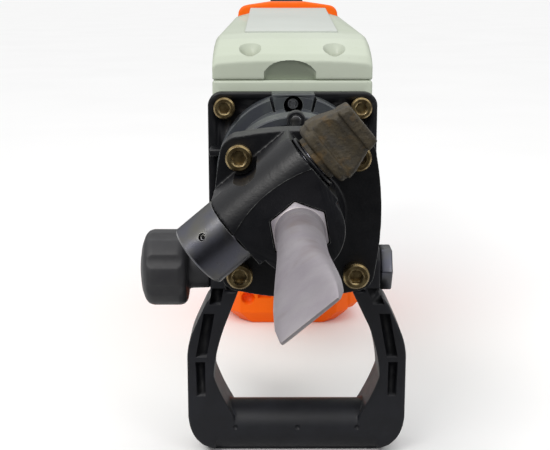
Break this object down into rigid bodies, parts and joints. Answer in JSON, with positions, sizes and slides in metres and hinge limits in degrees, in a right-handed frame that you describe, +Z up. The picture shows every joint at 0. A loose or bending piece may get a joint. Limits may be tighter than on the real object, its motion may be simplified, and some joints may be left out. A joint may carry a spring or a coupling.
{
  "type": "electric demolition hammer",
  "caption": "Electric demolition hammer with hexagon shank chisel, cast gear case, vertical motor, rear grip with trigger and swivelling D-shaped side handle.",
  "frame": {"origin": "middle of the whole object's box, at the level it stands on", "axes": "+Y from the chisel to the rear grip along the tool axis, +Z up, +X to the side of the turning lever"},
  "size_m": [0.1808, 0.8464, 0.3045],
  "materials": {
    "grey_casting": "painted casting, light greenish grey, satin",
    "black_casting": "blue-black enamelled casting, semi-gloss, worn at its edges",
    "gunmetal": "blued steel, satin",
    "rough_cast": "phosphated casting, rough",
    "tool_steel": "sand-blasted forged steel",
    "zinc_yellow": "yellow-passivated zinc plating",
    "bright_steel": "ground steel",
    "copper_core": "copper windings",
    "orange_plastic": "moulded orange plastic, semi-gloss",
    "black_plastic": "glass-filled plastic, charcoal",
    "knob_plastic": "glass-filled plastic, dark grey",
    "label_grey": "blank label panel, light grey",
    "rubber": "soft grip rubber, matt"
  },
  "bodies": {
    "machine": {"armature_bearing_lower": "bright_steel", "armature_bearing_upper": "bright_steel", "bearing_bridge": "grey_casting", "brush_cap_left": "black_plastic", "brush_cap_right": "black_plastic", "cable_inlet": "rubber", "case_screw_lower_left": "zinc_yellow", "case_screw_lower_right": "zinc_yellow", "case_screw_upper_left": "zinc_yellow", "case_screw_upper_right": "zinc_yellow", "cover_flange_screw_lower_left": "zinc_yellow", "cover_flange_screw_lower_right": "zinc_yellow", "cover_flange_screw_upper_left": "zinc_yellow", "cover_flange_screw_upper_right": "zinc_yellow", "crank_bearing_lower": "bright_steel", "crank_bearing_upper": "bright_steel", "crank_case": "grey_casting", "crank_cover": "grey_casting", "crank_cover_screw_front_left": "zinc_yellow", "crank_cover_screw_front_right": "zinc_yellow", "crank_cover_screw_rear_left": "zinc_yellow", "crank_cover_screw_rear_right": "zinc_yellow", "cylinder_case": "black_casting", "cylinder_liner": "bright_steel", "front_cover": "black_casting", "impact_damper": "rubber", "label_panel": "label_grey", "motor_housing": "orange_plastic", "oil_plug": "gunmetal", "rear_handle_left": "rubber", "rear_handle_right": "rubber", "rear_housing": "orange_plastic", "retainer_spring": "bright_steel", "stator": "copper_core", "tail_cover": "orange_plastic", "tool_guide": "bright_steel", "top_tab_screw": "bright_steel"},
    "chisel": {"chisel": "tool_steel"},
    "retainer_carrier": {"retainer_washer": "gunmetal"},
    "retainer": {"retainer_shaft": "gunmetal", "retainer_lever": "rough_cast", "retainer_sleeve": "gunmetal", "retainer_roll_pin": "bright_steel"},
    "handle_band": {"side_handle_band": "black_casting"},
    "side_handle": {"side_handle": "black_plastic", "clamp_bolt": "zinc_yellow"},
    "clamp_knob": {"clamp_knob": "knob_plastic"},
    "trigger": {"trigger": "black_plastic"},
    "lock_button": {"lock_button": "black_plastic"},
    "armature": {"armature": "copper_core", "fan": "black_plastic"},
    "layshaft": {"layshaft": "gunmetal", "layshaft_gear": "gunmetal"},
    "crank": {"crankshaft": "bright_steel", "crank_gear": "gunmetal"},
    "connecting_rod": {"connecting_rod": "bright_steel", "wrist_pin": "bright_steel"},
    "piston": {"piston": "bright_steel"},
    "striker": {"striker": "bright_steel"},
    "impact_bolt": {"impact_bolt": "bright_steel"}
  },
  "joints": [
    {"name": "chisel_slide", "type": "slide", "parent": "machine", "child": "chisel", "axis": [0, -1, 0], "range_m": [-0.005, 0.02]},
    {"name": "retainer_pull", "type": "slide", "parent": "machine", "child": "retainer_carrier", "axis": [-0.766, 0, -0.6428], "range_m": [0, 0.0055], "stiffness_N_per_m": 4000, "springref_m": -0.004, "deforming": ["retainer_spring"]},
    {"name": "retainer_turn", "type": "hinge", "parent": "retainer_carrier", "child": "retainer", "pos_m": [-0.00044, -0.24075, 0.20193], "axis": [0.766, 0, 0.6428], "range_deg": [0, 180]},
    {"name": "band_turn", "type": "hinge", "parent": "machine", "child": "handle_band", "pos_m": [0.0146, -0.13075, 0.184], "axis": [0, 1, 0], "continuous": true},
    {"name": "handle_swing", "type": "hinge", "parent": "handle_band", "child": "side_handle", "pos_m": [0.0146, -0.13075, 0.13], "axis": [1, 0, 0], "range_deg": [-60, 60]},
    {"name": "knob_turn", "type": "hinge", "parent": "side_handle", "child": "clamp_knob", "pos_m": [-0.0734, -0.13075, 0.13], "axis": [1, 0, 0], "range_deg": [0, 720]},
    {"name": "trigger_pull", "type": "hinge", "parent": "machine", "child": "trigger", "pos_m": [0.0146, 0.36125, 0.258], "axis": [1, 0, 0], "range_deg": [0, 9], "stiffness_Nm_per_rad": 0.6, "springref_deg": -11.46},
    {"name": "lock_button_push", "type": "slide", "parent": "machine", "child": "lock_button", "axis": [1, 0, 0], "range_m": [0, 0.003], "stiffness_N_per_m": 800, "springref_m": -0.002},
    {"name": "armature_spin", "type": "hinge", "parent": "machine", "child": "armature", "pos_m": [0.0146, 0.19075, 0.084], "axis": [0, 0, 1], "continuous": true},
    {"name": "layshaft_spin", "type": "hinge", "parent": "machine", "child": "layshaft", "pos_m": [0.0146, 0.157, 0.154], "axis": [0, 0, 1], "continuous": true},
    {"name": "crank_spin", "type": "hinge", "parent": "machine", "child": "crank", "pos_m": [0.0146, 0.09925, 0.154], "axis": [0, 0, 1], "continuous": true},
    {"name": "rod_pivot", "type": "hinge", "parent": "crank", "child": "connecting_rod", "pos_m": [0.0146, 0.08925, 0.184], "axis": [0, 0, 1], "continuous": true},
    {"name": "piston_slide", "type": "slide", "parent": "machine", "child": "piston", "axis": [0, 1, 0], "range_m": [0, 0.015]},
    {"name": "striker_slide", "type": "slide", "parent": "machine", "child": "striker", "axis": [0, 1, 0], "range_m": [-0.003, 0.014]},
    {"name": "impact_bolt_slide", "type": "slide", "parent": "machine", "child": "impact_bolt", "axis": [0, 1, 0], "range_m": [-0.002, 0.006]}
  ],
  "couplings": [
    {"joint": "layshaft_spin", "follows": "armature_spin", "ratio": -0.2},
    {"joint": "crank_spin", "follows": "armature_spin", "ratio": 0.044444},
    {"joint": "rod_pivot", "follows": "armature_spin", "ratio": -0.044444}
  ]
}
